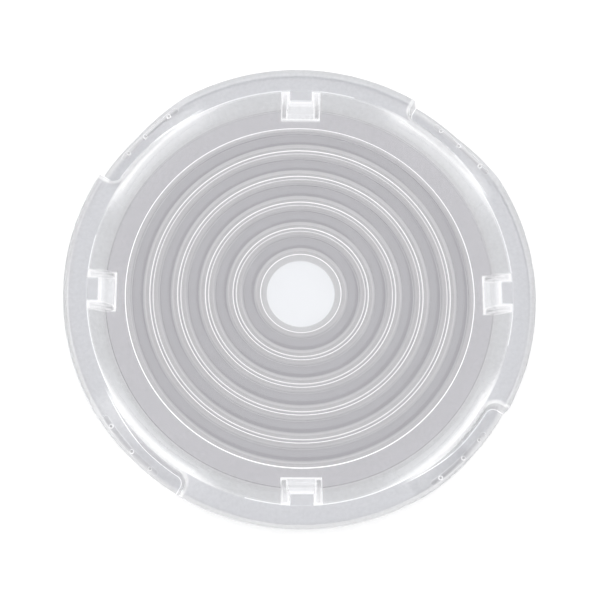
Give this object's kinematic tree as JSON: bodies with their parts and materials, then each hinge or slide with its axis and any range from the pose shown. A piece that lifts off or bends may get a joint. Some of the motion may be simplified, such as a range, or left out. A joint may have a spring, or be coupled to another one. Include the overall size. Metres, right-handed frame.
{
  "type": "led high bay lens",
  "caption": "Clear round moulded lens plate with concentric ring lenses, a frosted flange, clip bosses and ramped edge recesses, for a high bay lamp.",
  "frame": {"origin": "centre of the lens on the plane of its skirt's base", "axes": "+Z along the optical axis, out of the front; X and Y each through two opposite clip bosses"},
  "size_m": [0.2798, 0.2798, 0.0112],
  "materials": {
    "lens": "clear polycarbonate, polished, with a fine frosted flange"
  },
  "bodies": {
    "root": {"lens": "lens"}
  },
  "joints": []
}
